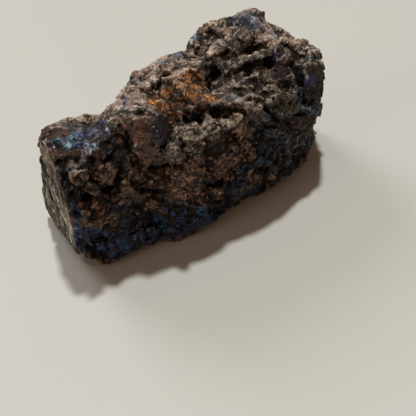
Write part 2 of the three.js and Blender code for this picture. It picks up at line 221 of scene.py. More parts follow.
# ---- Blocks that stand out ----
# For each, its depth in millimetres, its tint and its corners, written as a pixel and how far it
# stands towards the camera. It is the hull of the corners and of the same corners sunk in.
SLABS = {
    "smooth block": (4.0, "glassy", [
        (125, 117, 1.0), (131, 115, 1.0), (152, 115, 1.0), (154, 131, 0.9), (161, 152, 0.6),
        (161, 164, 0.2), (148, 167, 0.2), (134, 158, 0.5), (127, 142, 0.8),
    ]),
    "prism": (3.5, "plum", [
        (154, 117, 0.6), (169, 119, 0.2), (171, 128, 0.2), (165, 146, 0.4), (161, 149, 0.2),
        (155, 131, 0.9),
    ]),
    "crystal": (3.0, "lilac", [
        (171, 142, 0.6), (179, 144, 1.0), (187, 154, 0.6), (181, 167, 0.2), (166, 160, 0.4),
        (163, 152, 0.4), (175, 150, 2.2),
    ]),
    "slab": (3.5, "clay", [
        (231, 91, 1.2), (217, 101, 1.2), (208, 107, 0.8), (217, 107, 1.0), (228, 105, 1.4),
        (250, 108, 1.4), (245, 99, 1.2),
    ]),
    "slab end": (3.0, "clay", [
        (250, 102, 1.0), (262, 109, 1.4), (274, 119, 0.8), (262, 124, 1.0), (248, 116, 1.4),
        (244, 108, 1.4),
    ]),
    "layered block": (5.0, "moss", [
        (264, 99, 1.0), (274, 94, 0.6), (283, 91, 0.4), (290, 92, 0.4), (301, 98, 1.0),
        (301, 112, 1.4), (290, 116, 1.6), (281, 119, 1.4), (272, 113, 1.4), (265, 106, 1.2),
    ]),
    "lower block": (4.0, "umber", [
        (287, 118, 1.2), (312, 116, 0.9), (314, 126, 0.9), (306, 130, 1.4), (292, 129, 1.4),
    ]),
    # Its tint is part dark amber brown, part painted shade.
    "column": (5.0, "shaded_amber", [
        (303, 63, 0.8), (309, 60, 0.4), (316, 61, 0.3), (323, 72, 0.3), (324, 84, 0.3),
        (323, 100, 0.4), (305, 101, 1.2), (304, 80, 1.0),
    ]),
    "column foot": (4.0, "steel", [
        (303, 104, 1.2), (323, 102, 0.6), (324, 107, 0.4), (320, 114, 0.6), (311, 114, 0.8),
        (302, 112, 1.2),
    ]),
    "smooth face": (3.0, "olive", [
        (297, 133, 0.8), (311, 134, 0.6), (311, 148, 0.6), (304, 152, 0.8), (296, 146, 1.0),
    ]),
    "left nodule": (2.5, "bark", [
        (53, 151, 0.6), (62, 149, 0.8), (67, 153, 1.0), (64, 160, 0.8), (56, 159, 0.6),
    ]),
    "second nodule": (2.5, "bark", [
        (68, 150, 0.8), (80, 149, 0.8), (83, 155, 1.2), (76, 161, 1.0), (69, 158, 0.9),
    ]),
    "third nodule": (2.5, "bark", [
        (91, 149, 0.6), (103, 147, 0.6), (105, 154, 0.9), (98, 158, 0.8), (90, 157, 0.6),
    ]),
    "ball": (2.5, "bark", [
        (93, 161, 1.0), (97, 159, 1.2), (102, 161, 1.2), (104, 165, 1.0), (101, 170, 0.9),
        (96, 171, 0.9), (92, 168, 0.8), (98, 165, 2.0),
    ]),
    "upper block": (3.0, "bark", [
        (68, 171, 0.8), (80, 169, 1.2), (89, 170, 1.4), (91, 178, 1.6), (88, 185, 1.4),
        (78, 186, 1.2), (71, 183, 0.9),
    ]),
    "lower block on the left": (3.0, "bark", [
        (82, 187, 1.0), (91, 182, 1.4), (100, 187, 1.2), (102, 194, 0.9), (95, 198, 0.8),
        (86, 195, 0.8),
    ]),
    "block by the ball": (3.0, "bark", [
        (102, 176, 0.9), (106, 168, 1.0), (114, 164, 0.8), (118, 170, 0.9), (115, 180, 1.2),
        (108, 189, 1.0), (102, 184, 0.9),
    ]),
    "tan wedge": (3.0, "tan", [
        (121, 181, 0.8), (127, 177, 0.8), (134, 187, 1.2), (141, 196, 0.9), (134, 202, 0.9),
        (125, 203, 0.8), (119, 196, 0.8),
    ]),
}

# The rind's flat face on the left end: its outline in millimetres, and how thick the plate is.
RIND = [
    (-47.3, -8.5, 42.0), (-47.1, -11.2, 38.0), (-46.4, -11.2, 24.0), (-45.3, -11.2, 9.0),
    (-44.3, -2.4, 4.0), (-43.3, 6.0, 0.8), (-42.7, 14.5, 0.9), (-42.9, 17.0, 4.0),
    (-43.6, 13.8, 12.0), (-44.6, 9.0, 21.0), (-45.4, 6.0, 29.0), (-46.5, 0.0, 41.0),
]
RIND_DEPTH = 5.0

# ---- Cracks ----
# Width and depth in millimetres, and the line.
CRACKS = {
    "round the ball": (0.9, 1.3, [(91, 160), (91, 168), (92, 176)]),
    "under the nodules": (0.9, 1.2, [(58, 160), (66, 160), (71, 162), (79, 161)]),
    "in the block": (0.8, 0.9, [(88, 179), (89, 190)]),
    "in the block, left": (0.8, 0.8, [(79, 171), (78, 181), (83, 190)]),
    "in the block, right": (0.8, 0.8, [(92, 181), (97, 189)]),
    "left strip": (0.9, 0.8, [(63, 172), (66, 186), (69, 197)]),
    "beside the smooth block": (0.9, 1.6, [(120, 122), (122, 128), (127, 136), (131, 142)]),
    "below the smooth block": (1.2, 2.2, [
        (123, 132), (126, 146), (132, 161), (140, 167), (148, 171), (162, 172), (168, 168),
    ]),
    "tan edge": (0.9, 1.2, [(130, 173), (133, 183), (140, 188)]),
    "middle left": (0.9, 1.2, [(140, 167), (144, 172), (142, 178)]),
    "middle": (0.9, 1.2, [(148, 181), (155, 186), (160, 190)]),
    "middle right": (1.1, 1.6, [(163, 170), (167, 178), (164, 186), (168, 191)]),
    "branch": (1.0, 1.4, [(168, 172), (176, 172), (182, 169), (185, 164)]),
    "lower middle": (0.9, 1.2, [(168, 193), (178, 196), (190, 193)]),
    "lower left": (0.9, 1.1, [(88, 204), (94, 210), (92, 218), (98, 219)]),
    "lower left foot": (0.9, 1.0, [(105, 227), (112, 228), (121, 232)]),
    "slanted": (1.1, 2.6, [(155, 88), (158, 84), (162, 79), (166, 74)]),
    "slit": (0.9, 1.6, [(188, 62), (198, 61)]),
    "small slit": (0.9, 1.2, [(197, 53), (204, 54)]),
    "crystal edge": (1.0, 2.0, [(165, 147), (170, 141), (177, 141), (186, 150), (190, 158)]),
    "pale patch, left": (1.0, 1.4, [(171, 120), (177, 123), (182, 127)]),
    "pale patch, top": (0.9, 1.2, [(199, 122), (206, 121)]),
    "pale patch, right": (1.0, 1.4, [(221, 121), (226, 127)]),
    "under the pale patch": (1.0, 1.6, [(222, 134), (228, 134), (233, 138), (240, 139)]),
    "front upright": (0.9, 1.3, [(208, 141), (209, 152), (208, 162), (210, 177)]),
    "front branch": (1.0, 1.5, [(245, 142), (250, 151), (247, 158)]),
    "front low": (0.9, 1.4, [(229, 172), (229, 186)]),
    "slab steps": (0.9, 1.6, [(231, 89), (238, 95), (245, 98), (253, 98)]),
    "over the layered block": (1.0, 1.6, [(259, 103), (262, 97), (270, 98)]),
    "layers": (0.8, 1.0, [(290, 105), (297, 102)]),
    "layers below": (0.9, 1.3, [(291, 116), (298, 114)]),
    "column line": (0.9, 1.4, [(310, 103), (322, 101)]),
    "top right": (1.0, 1.8, [(284, 43), (289, 48), (293, 51)]),
    "under the blue crystals": (1.0, 1.6, [(272, 60), (276, 56), (280, 57)]),
    "rind pits": (1.0, 1.4, [(46, 181), (47, 186)]),
    "rind pits below": (1.1, 1.5, [(50, 191), (52, 199)]),
    "rind pits, low": (1.0, 1.4, [(60, 227), (63, 232)]),
    "rind pits at the foot": (1.0, 1.4, [(65, 237), (67, 241)]),
    "left steps": (0.9, 1.2, [(281, 140), (281, 150), (286, 159)]),
    "groove 1": (0.9, 0.9, [(293, 133), (294, 150), (297, 163)]),
    "groove 2": (0.9, 0.9, [(299, 133), (301, 150), (302, 160)]),
    "groove 3": (0.9, 0.8, [(306, 134), (308, 148), (306, 158)]),
}

# ---- Coloured zones ----
# For each tint, how far its colour reaches on either side of a line, in millimetres, and the line.
TINTS = {
    "teal": [
        (1.2, [(56, 144), (66, 146), (76, 147)]), (1.2, [(64, 139), (72, 141), (82, 138)]),
        (1.0, [(73, 134), (80, 133)]), (1.0, [(90, 143), (97, 142)]),
        (0.8, [(88, 131), (95, 130)]),
    ],
    "azure": [
        (1.3, [(157, 222), (163, 226)]), (1.2, [(204, 209), (209, 212)]),
        (1.3, [(189, 214), (196, 214)]), (1.2, [(118, 247), (127, 244)]),
        (1.0, [(248, 171), (252, 168)]),
    ],
    "navy": [
        (2.4, [(6, 19, 14), (14, 19, 10), (21, 19, 12)]), (1.8, [(27, 18, 8), (34, 16, 9)]),
        (2.6, [(43, 6, 14), (42, 12, 8), (38, 15, 12)]), (2.0, [(-12, 18, 8), (-6, 18, 6)]),
        (1.8, [(-34, 15, 18), (-30, 16, 22)]), (2.6, [(232, 196), (237, 188), (245, 187)]),
        (1.6, [(240, 176), (246, 169)]), (1.2, [(237, 163), (241, 150)]),
        (2.6, [(260, 164), (272, 160), (272, 144)]), (1.5, [(266, 137), (269, 139)]),
        (1.8, [(283, 148), (284, 160)]), (1.8, [(270, 186), (277, 182)]),
        (1.6, [(293, 95), (304, 96)]), (1.4, [(222, 184), (228, 192)]),
        (1.8, [(214, 220), (226, 206), (240, 198), (256, 192), (270, 188), (284, 180),
            (298, 170)]),
    ],
    "steel": [
        (1.5, [(65, 172), (69, 186), (72, 198), (75, 208)]),
        (2.0, [(278, 138), (288, 140), (290, 152)]),
        (2.2, [(262, 176), (276, 170), (290, 163), (302, 156)]),
        (2.4, [(271, 138), (273, 150), (270, 163)]), (2.8, [(303, 137), (306, 148), (300, 154)]),
        (1.8, [(305, 107), (321, 106)]), (1.6, [(130, 206), (143, 206)]),
        (1.8, [(168, 207), (182, 209), (197, 210)]),
        (1.4, [(233, 93), (245, 100), (257, 107), (271, 119)]),
    ],
    "violet": [
        (1.4, [(98, 126), (106, 130), (104, 135)]), (1.0, [(82, 133), (90, 136)]),
        (1.2, [(85, 146), (88, 148)]), (2.0, [(128, 224), (127, 236)]),
        (2.2, [(309, 82), (315, 79)]), (0.8, [(160, 138), (161, 146)]),
    ],
    "blue": [
        (1.5, [(76, 214), (83, 213)]), (1.3, [(78, 226), (78, 240), (82, 249)]),
        (1.4, [(115, 210), (121, 209)]), (1.4, [(133, 208), (139, 207)]),
        (3.4, [(88, 238), (102, 242), (116, 247), (134, 241), (146, 234)]),
        (3.2, [(150, 226), (165, 229), (180, 226), (196, 221), (210, 215)]),
        (1.4, [(170, 215), (178, 218)]), (2.0, [(188, 214), (197, 216)]),
        (2.0, [(203, 214), (213, 217)]), (0.8, [(246, 24), (252, 27), (250, 31)]),
        (1.4, [(110, 146), (112, 158)]), (1.6, [(274, 56), (277, 52)]),
    ],
    "pale blue": [
        (0.9, [(62, 145), (70, 146)]), (1.3, [(93, 145), (95, 143)]),
        (1.2, [(273, 35), (274, 41)]), (1.2, [(192, 40), (195, 34)]),
        (1.3, [(307, 57), (315, 55)]), (1.3, [(314, 43), (317, 48)]),
        (1.2, [(162, 64), (167, 63)]), (1.4, [(270, 23), (275, 28)]),
        (0.9, [(212, 44), (217, 42)]),
    ],
    "pale": [
        (0.9, [(272, 35), (274, 41)]), (1.5, [(70, 168), (80, 167), (85, 163)]),
        (1.0, [(85, 163), (88, 150)]),
        (0.6, [(46, 134), (52, 150), (60, 171), (65, 190), (69, 210), (75, 230), (80, 248)]),
    ],
    # Painted shade: the cave, the gaps and the hollow under the blocks are painted near black.
    "gap": [
        (1.2, [(188, 119), (199, 116), (208, 113), (217, 112)]), (0.9, [(223, 112), (230, 113)]),
        (1.3, [(172, 127), (175, 134), (171, 141), (166, 147)]),
        (1.7, [(74, 196), (86, 199), (98, 200)]),
        (0.9, [(92, 171), (97, 175), (104, 170), (107, 162)]),
        (0.8, [(124, 146), (131, 160), (139, 167), (150, 172)]), (0.9, [(213, 187), (222, 187)]),
    ],
    # Painted reflection: pale streaks of glare on the smooth block.
    "painted_glare": [
        (0.5, [(134, 136), (135, 143)]), (0.45, [(140, 141), (149, 152), (157, 163)]),
        (0.4, [(133, 146), (140, 157), (147, 164)]), (0.4, [(128, 120), (129, 131)]),
    ],
    # Painted highlight: white glints on the smooth block and the shelf.
    "painted_sparkle": [
        (0.5, [(132, 119)]), (0.5, [(145, 124)]), (0.45, [(116, 140)]), (0.45, [(134, 142)]),
        (0.55, [(104, 131), (107, 129)]),
    ],
    # Pale chalky rind along the left end's front edge: part its own colour, part painted light
    # where the edge catches it.
    "chalk_and_edge_light": [
        (1.7, [(44, 138), (48, 156), (52, 171), (57, 186), (61, 200), (65, 213), (69, 227),
            (73, 240)]),
        (1.0, [(49, 205), (55, 218)]),
    ],
    "scab": [
        (1.3, [(41, 160), (43, 174)]), (1.6, [(46, 178), (48, 186), (51, 196)]),
        (1.2, [(57, 206), (61, 220)]), (1.4, [(60, 228), (65, 238)]),
    ],
    "bark": [
        (3.2, [(72, 175), (84, 181), (98, 187)]), (1.6, [(97, 165)]),
        (2.0, [(108, 168), (106, 176)]), (3.6, [(82, 208), (93, 213), (86, 222)]),
        (2.6, [(150, 178), (160, 182), (154, 196)]), (3.0, [(186, 160), (198, 164), (205, 172)]),
        (2.6, [(172, 186), (186, 188)]), (3.0, [(224, 158), (234, 166), (226, 176)]),
        (2.4, [(166, 214), (180, 221), (188, 228)]), (2.0, [(204, 206), (214, 200)]),
    ],
    "umber": [
        (1.5, [(50, 146), (60, 151), (72, 153), (84, 153), (96, 150), (106, 147)]),
        (2.0, [(60, 157), (74, 158), (100, 156)]), (2.8, [(45, 133), (50, 138), (58, 135)]),
        (2.4, [(60, 152), (74, 154), (88, 156)]), (1.3, [(196, 148), (212, 146), (226, 142)]),
    ],
    "shelf": [
        (3.5, [(58, 140), (70, 138), (90, 136), (104, 134)]),
        (2.5, [(68, 126), (84, 128), (100, 124)]),
    ],
    "pink": [
        (4.5, [(132, 100), (142, 84), (158, 72), (178, 62)]),
        (2.5, [(118, 100), (128, 84), (140, 74)]), (3.0, [(208, 50), (222, 38), (240, 36)]),
        (2.0, [(222, 28), (232, 30)]), (1.8, [(252, 40), (262, 33), (268, 30)]),
    ],
    # Painted shade: dark brown laid in the recesses, under the lips and over faces of the upper
    # right that lie in shade.
    "dark": [
        (1.3, [(222, 54), (240, 51), (254, 46)]), (1.3, [(234, 70), (250, 70)]),
        (4.4, [(280, 66), (300, 70)]), (2.2, [(236, 83), (252, 85), (290, 86)]),
        (3.0, [(220, 70), (214, 80)]), (3.0, [(284, 50), (300, 54)]),
        (1.6, [(278, 102), (292, 107)]), (4.0, [(311, 72), (314, 98)]),
        (3.0, [(288, 122), (306, 122)]), (3.0, [(284, 72), (296, 72)]),
        (1.1, [(200, 38), (206, 35), (213, 33)]),
    ],
    "rust": [
        (3.2, [(155, 105), (163, 99), (172, 92), (182, 84), (192, 81)]),
        (3.0, [(158, 108), (168, 104), (178, 98), (188, 94)]), (2.0, [(162, 112), (171, 112)]),
        (1.8, [(196, 84), (206, 88)]), (2.4, [(188, 92), (202, 92), (212, 98)]),
        (1.8, [(172, 116), (178, 113)]),
    ],
    "ochre": [(1.8, [(158, 104), (168, 98)]), (1.4, [(172, 92), (180, 88), (190, 87)])],
    "cream": [
        (2.6, [(183, 133), (196, 137), (209, 131)]), (2.6, [(186, 150), (200, 156), (212, 152)]),
        (2.4, [(198, 127), (213, 123)]),
        (0.8, [(118, 108), (125, 112), (140, 112), (156, 113), (170, 117)]),
        (0.5, [(125, 116), (125, 130)]), (0.8, [(195, 77), (199, 69), (211, 59), (223, 50)]),
        (1.2, [(228, 119), (238, 118)]), (2.0, [(-28, 15, 26), (-18, 17, 30)]),
    ],
    "glassy": [(1.4, [(202, 74), (205, 72)])],
    "plum": [(0.8, [(146, 147), (153, 156)])],
    "lilac": [(0.8, [(187, 152), (188, 158)])],
    "clay": [(1.2, [(206, 108), (214, 104)])],
    "moss": [(1.6, [(262, 92), (272, 88)])],
    # Dark amber brown, part its own colour and part painted shade on the column and the faces
    # beside it.
    "shaded_amber": [
        (2.2, [(276, 62), (288, 62), (298, 64)]), (3.6, [(283, 70), (295, 72)]),
        (1.8, [(304, 62), (318, 62)]),
    ],
    "burnt": [
        (2.8, [(178, 104), (192, 101), (206, 104)]), (1.8, [(175, 116), (184, 113)]),
        (2.2, [(-10, 18, 30), (-2, 20, 25)]), (1.6, [(20, 18, 36), (27, 18, 34)]),
    ],
    "dusk": [
        (2.6, [(243, 20), (253, 19)]), (2.0, [(247, 28), (256, 26)]),
        (1.4, [(228, 22), (232, 19)]), (1.6, [(267, 19), (276, 27)]),
        (1.0, [(125, 97), (124, 107)]), (1.0, [(136, 83), (128, 79)]),
        (1.0, [(150, 69), (156, 67)]), (1.2, [(170, 57), (177, 60), (184, 52)]),
    ],
    "tan": [(1.6, [(305, 66), (312, 66)])],
    "olive": [
        (1.8, [(222, 62), (245, 59), (258, 56), (268, 51)]),
        (1.8, [(255, 74), (266, 75), (273, 70)]), (1.6, [(240, 90), (250, 92)]),
        (1.4, [(224, 101), (240, 104)]), (1.6, [(110, 112), (117, 114)]),
        (1.6, [(266, 101), (272, 100)]), (3.0, [(44, -4, 10), (46, 2, 22)]),
    ],
}

# For each tint, in the order in which they are laid: its dark and light colours, how ragged its
# edge is, and the most that it covers. The speck noise mixes its colours, or the one in GRAINS.
COVERS = {
    "rind": ((28, 24, 21), (186, 174, 156), 0.2, 1.0),
    "scab": ((30, 24, 22), (112, 98, 90), 0.4, 0.85),
    # Part own colour, part painted light.
    "chalk_and_edge_light": ((188, 176, 156), (255, 253, 244), 0.2, 1.0),
    "pink": ((132, 111, 99), (244, 220, 202), 0.45, 0.9),
    # Painted shade.
    "dark": ((8, 6, 5), (46, 35, 30), 0.45, 0.97),
    "olive": ((66, 64, 56), (148, 142, 124), 0.45, 0.8),
    "tan": ((94, 68, 53), (146, 111, 88), 0.45, 0.85),
    "cream": ((104, 90, 76), (200, 182, 158), 0.45, 1.0),
    "rust": ((66, 34, 17), (255, 172, 92), 0.45, 0.95),
    "ochre": ((88, 62, 34), (200, 154, 90), 0.45, 0.8),
    "burnt": ((18, 11, 8), (140, 84, 50), 0.45, 0.8),
    "dusk": ((32, 38, 54), (140, 152, 182), 0.5, 0.9),
    "lilac": ((66, 54, 58), (178, 158, 156), 0.3, 0.95),
    "clay": ((70, 57, 53), (172, 146, 134), 0.3, 0.9),
    "moss": ((30, 23, 18), (150, 124, 98), 0.3, 0.9),
    "glassy": ((48, 27, 22), (148, 98, 82), 0.2, 1.0),
    # Painted reflection.
    "painted_glare": ((104, 80, 66), (196, 164, 138), 0.3, 0.8),
    "plum": ((12, 9, 12), (72, 60, 78), 0.2, 1.0),
    # Painted highlight on the lips of the ledges.
    "lip": ((92, 80, 68), (204, 184, 158), 0.4, 0.75),
    # Part own colour, part painted shade.
    "shaded_amber": ((11, 7, 4), (64, 40, 27), 0.3, 0.95),
    "shelf": ((14, 14, 18), (120, 124, 130), 0.5, 0.9),
    "bark": ((62, 44, 35), (188, 146, 118), 0.5, 0.85),
    "umber": ((15, 9, 7), (104, 68, 50), 0.4, 1.0),
    "pale": ((104, 108, 112), (220, 222, 224), 0.25, 1.0),
    "steel": ((22, 29, 37), (116, 138, 156), 0.5, 0.9),
    "navy": ((10, 15, 25), (60, 92, 128), 0.5, 0.9),
    "blue": ((14, 20, 38), (56, 94, 160), 0.6, 0.92),
    "azure": ((10, 40, 78), (56, 150, 228), 0.6, 1.0),
    "teal": ((12, 28, 40), (84, 132, 156), 0.6, 1.0),
    "violet": ((14, 14, 36), (88, 88, 150), 0.7, 0.8),
    "pale blue": ((66, 84, 104), (176, 200, 218), 0.45, 0.95),
    # Painted shade.
    "gap": ((5, 4, 4), (16, 12, 11), 0.3, 1.0),
    # Painted highlight.
    "painted_sparkle": ((200, 205, 215), (255, 255, 255), 0.2, 1.0),
}
GRAINS = {"rind": "streaks", "scab": "streaks", "chalk_and_edge_light": "streaks", "bark": "soft", "blue": "soft"}
SMOOTH_TINTS = ("glassy", "plum")   # blocks of these keep flat faces, and they shine
TARNISH = ("blue", "teal", "violet", "azure")       # slightly metallic


# ---- The camera, and what it sees ----
def camera_axes():
    """The camera's right, up and back directions."""
    flat = math.cos(CAMERA_ELEVATION)
    back = Vector((
        math.sin(CAMERA_AZIMUTH) * flat,
        -math.cos(CAMERA_AZIMUTH) * flat,
        math.sin(CAMERA_ELEVATION),
    ))
    right = Vector((0, 0, 1)).cross(back).normalized()
    up = back.cross(right)
    roll = Matrix.Rotation(CAMERA_ROLL, 3, back)
    return roll @ right, roll @ up, back


RIGHT, UP, BACK = camera_axes()


def sight(pixel):
    """The direction in which the camera sees a pixel of the photograph, one unit deep."""
    across = (pixel[0] - PICTURE / 2) / FOCAL
    down = (pixel[1] - PICTURE / 2) / FOCAL
    return RIGHT * across - UP * down - BACK


# ---- Meshes as arrays ----
def arrays_of(mesh):
    """A mesh's points in millimetres, and its faces as triangles."""
    mesh.calc_loop_triangles()
    points = np.empty(len(mesh.vertices) * 3)
    mesh.vertices.foreach_get("co", points)
    faces = np.empty(len(mesh.loop_triangles) * 3, dtype=np.int32)
    mesh.loop_triangles.foreach_get("vertices", faces)
    return points.reshape(-1, 3) / MM, faces.reshape(-1, 3)


def welded(points, faces, apart=0.01):
    """The same skin with its corners shared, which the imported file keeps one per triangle."""
    _, first, number = np.unique(
        np.round(points / apart), axis=0, return_index=True, return_inverse=True
    )
    return points[first], number.ravel()[faces]


def placed(name, data):
    """A new object in the scene."""
    made = bpy.data.objects.new(name, data)
    bpy.context.scene.collection.objects.link(made)
    return made


def mesh_of(name, points, faces):
    mesh = bpy.data.meshes.new(name)
    mesh.from_pydata((points * MM).tolist(), [], faces.tolist())
    mesh.update()
    return mesh


def joined(parts):
    """Several (points, faces) as one."""
    starts = np.cumsum([0] + [len(points) for points, _ in parts[:-1]])
    faces = [faces + start for (_, faces), start in zip(parts, starts)]
    return np.vstack([points for points, _ in parts]), np.vstack(faces)


def modified(points, faces, kind, **settings):
    """The skin after one of Blender's modifiers."""
    worked = placed("worked", mesh_of("worked", points, faces))
    modifier = worked.modifiers.new("worked", kind)
    for name, value in settings.items():
        setattr(modifier, name, value)
    changed = worked.evaluated_get(bpy.context.evaluated_depsgraph_get())
    result = arrays_of(changed.to_mesh())
    changed.to_mesh_clear()
    bpy.data.meshes.remove(worked.data)
    return result


def remeshed(points, faces, voxel):
    """One closed skin round everything that the faces enclose."""
    return modified(points, faces, "REMESH", mode="VOXEL", voxel_size=voxel * MM)


def island_round(corner):
    """All the corners that edges join to this one."""
    island = {corner}
    waiting = [corner]
    while waiting:
        for edge in waiting.pop().link_edges:
            for other in edge.verts:
                if other not in island:
                    island.add(other)
                    waiting.append(other)
    return island


def one_body(points, faces):
    """The skin without slivers and without crumbs that are loose from it."""
    mesh = mesh_of("worked", points, faces)
    work = bmesh.new()
    work.from_mesh(mesh)
    bmesh.ops.dissolve_degenerate(work, dist=SLIVER * MM, edges=work.edges)
    bmesh.ops.triangulate(work, faces=work.faces)
    unseen = set(work.verts)
    islands = []
    while unseen:
        islands.append(island_round(next(iter(unseen))))
        unseen -= islands[-1]
    islands.sort(key=len)
    crumbs = [corner for island in islands[:-1] for corner in island]
    bmesh.ops.delete(work, geom=crumbs, context="VERTS")
    work.to_mesh(mesh)
    work.free()
    result = arrays_of(mesh)
    bpy.data.meshes.remove(mesh)
    return result


def normals_of(points, faces):
    a, b, c = (points[faces[:, i]] for i in range(3))
    flat = np.cross(b - a, c - a)
    total = np.zeros_like(points)
    for i in range(3):
        for axis in range(3):
            total[:, axis] += np.bincount(faces[:, i], flat[:, axis], len(points))
    return normalised(total)


def edges_of(faces):
    pairs = np.vstack([faces[:, [0, 1]], faces[:, [1, 2]], faces[:, [2, 0]]])
    return np.unique(np.sort(pairs, axis=1), axis=0)


def spread(values, edges, rounds):
    """Values at the points, averaged with their neighbours' a number of times."""
    values = values.copy()
    count = np.bincount(edges.ravel(), minlength=len(values))
    for _ in range(rounds):
        total = np.zeros_like(values)
        for axis in range(values.shape[1]):
            total[:, axis] = np.bincount(edges[:, 0], values[edges[:, 1], axis], len(values))
            total[:, axis] += np.bincount(edges[:, 1], values[edges[:, 0], axis], len(values))
        values = (values + total) / (count + 1)[:, None]
    return values


def normalised(vectors):
    return vectors / np.maximum(np.linalg.norm(vectors, axis=1, keepdims=True), 1e-9)


def smoothstep(values, low, high):
    t = np.clip((values - low) / (high - low), 0, 1)
    return t * t * (3 - 2 * t)


def falling(values, low, high):
    return 1 - smoothstep(values, low, high)


# ---- Places on the solid ----
solid_points, solid_faces = welded(*arrays_of(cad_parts[NODE].data))
solid_tree = BVHTree.FromPolygons(solid_points.tolist(), solid_faces.tolist())


def depth_at(pixel):
    """How deep the solid is at a pixel, or at the nearest one towards the solid's middle."""
    pixel = Vector(pixel)
    while True:
        way = sight(pixel)
        hit = solid_tree.ray_cast(CAMERA_PLACE, way)[0]
        if hit is not None:
            return (hit - CAMERA_PLACE).dot(-BACK)
        pixel += (MIDDLE_PIXEL - pixel).normalized()


def spot(place, proud=0.0):
    """A place on the solid, and proud millimetres towards the camera if it is a pixel."""
    if len(place) == 3:
        return solid_tree.find_nearest(Vector(place))[0]
    return CAMERA_PLACE + sight(place) * (depth_at(place) - proud)


def line_of(places):
    return np.array([spot(place) for place in places])


def within(points, shape, most):
    """The points whose distance from a shape's box is less than most along each axis."""
    inside = (points > shape.min(axis=0) - most) & (points < shape.max(axis=0) + most)
    return np.flatnonzero(np.all(inside, axis=1))


def distance_to(points, line, most):
    """How far each point is from a line of points, or most if that is farther."""
    near = within(points, line, most)
    away = np.full(len(near), most)
    for start, end in zip(line, line[1:] if len(line) > 1 else line):
        run = end - start
        offset = points[near] - start
        along = np.clip(offset @ run / max(run @ run, 1e-9), 0, 1)
        away = np.minimum(away, np.linalg.norm(offset - along[:, None] * run, axis=1))
    distance = np.full(len(points), float(most))
    distance[near] = away
    return distance


def near_line(points, places, radius, low, high):
    """1 on the line through some places, falling to 0 between two shares of its radius."""
    share = distance_to(points, line_of(places), high * radius) / radius
    return falling(share, low, high)


# ---- Patterns in space ----
def pattern(function, points, size, shift=0.0):
    """A function of place at every point, with features about that many millimetres apart."""
    places = points / size + NOISE_STEP * shift
    return np.array([function(place) for place in places.tolist()])


def clouds(points, size, shift=0.0):
    return pattern(noise.noise, points, size, shift)


def clefts(points, size, width, shift=0.0):
    """1 in the cracks between grains, which are that many millimetres wide, and 0 beside them."""
    def gap(place):
        near = noise.voronoi(place)[0]
        return near[1] - near[0]
    return falling(pattern(gap, points, size, shift) * size / width, 0.1, 1)


def ridges(points, size, shift=0.0):
    """Sharp crests, about that many millimetres apart, with rounded troughs between them."""
    return 1 - 3 * np.abs(clouds(points, size, shift))


def breaks(points, size, shift=0.0):
    """The height of flat facets, each at a tilt of its own, as broken stone has."""
    def height(place):
        seed = noise.voronoi(place)[1][0]
        tilt = noise.cell_vector(seed * 7.0)
        return (tilt - Vector((0.5, 0.5, 0.5))).dot(Vector(place) - seed) + 0.35 * (tilt.x - 0.5)
    return size * pattern(height, points, size, shift)


def raised(name, function, points):
    """The height at every point of one of the named kinds of relief."""
    height, size, shift = RELIEF[name]
    return height * function(points, size, shift)


def cell_middles(points, size, shift=0.0):
    """The middle of each point's cell, with space split into cells about that big."""
    middles = pattern(lambda place: noise.voronoi(place)[1][0][:], points, size, shift)
    return (middles - NOISE_STEP * shift) * size


def jolted(points, name):
    """The points, each cell of space shifted as one, which gives what is laid jagged edges."""
    size, amount, shift = JOLTS[name]
    middles = cell_middles(points, size, shift)
    moves = [clouds(middles, 1.3 * size, shift + axis) for axis in (1, 2, 3)]
    return points + amount * np.stack(moves, axis=1)


def faceted(points, faces, size, share, shift):
    """The skin with each cell of about that size flattened towards a plane of its own."""
    middles = np.round(cell_middles(points, size, shift), 3)
    cell = np.unique(middles, axis=0, return_inverse=True)[1].ravel()
    count = np.bincount(cell)
    outward = normals_of(points, faces)
    means = [np.bincount(cell, values) / count for values in (*points.T, *outward.T)]
    middle = np.stack(means[:3], axis=1)[cell]
    facing = normalised(np.stack(means[3:], axis=1))[cell]
    above = np.sum((points - middle) * facing, axis=1)
    moved = share * np.clip(above, -0.25 * size, 0.25 * size)
    return points - moved[:, None] * facing


# ---- Chunks and blocks ----
def hull(corners):
    """The convex hull of some points, as (points, faces)."""
    work = bmesh.new()
    for corner in corners:
        work.verts.new(corner)
    made = bmesh.ops.convex_hull(work, input=work.verts)
    unused = made["geom_interior"] + made["geom_unused"]
    spare = {part for part in unused if isinstance(part, bmesh.types.BMVert)}
    bmesh.ops.delete(work, geom=list(spare), context="VERTS")
    bmesh.ops.triangulate(work, faces=work.faces)
    work.verts.index_update()
    points = np.array([v.co[:] for v in work.verts])
    faces = np.array([[v.index for v in f.verts] for f in work.faces])
    work.free()
    return points, faces


def chunk(chance, centre, outward, size):
    """An angular stone about that half width, a little flattened along its outward direction."""
    directions = normalised(chance.normal(size=(CHUNK_CORNERS, 3)))
    along = directions @ outward
    directions -= CHUNK_SINK * along[:, None] * outward
    stretch = chance.uniform(*CHUNK_STRETCH, size=3)
    return hull(centre + directions * stretch * size)


def face_of(corners):
    """The corners of a block's outer face."""
    return np.array([spot(corner[:2], corner[2]) for corner in corners])


def distance_from(points, face, most):
    """How far each point is from the hull of a block's outer face, or most if that is farther."""
    corners, sides = hull(face)
    tree = BVHTree.FromPolygons(corners.tolist(), sides.tolist())
    distance = np.full(len(points), float(most))
    for number in within(points, face, most):
        distance[number] = min(most, tree.find_nearest(Vector(points[number]))[3])
    return distance


def near_slabs(points, slabs, low, high):
    """1 on the outer faces of some blocks, falling to 0 between two distances from them."""
    share = np.zeros(len(points))
    for _, _, corners in slabs:
        away = distance_from(points, face_of(corners), high)
        share = np.maximum(share, falling(away, low, high))
    return share


def hand_set(points):
    """1 on the listed blocks, falling to 0 beside them."""
    return near_slabs(points, SLABS.values(), *HAND_SET_REACH)


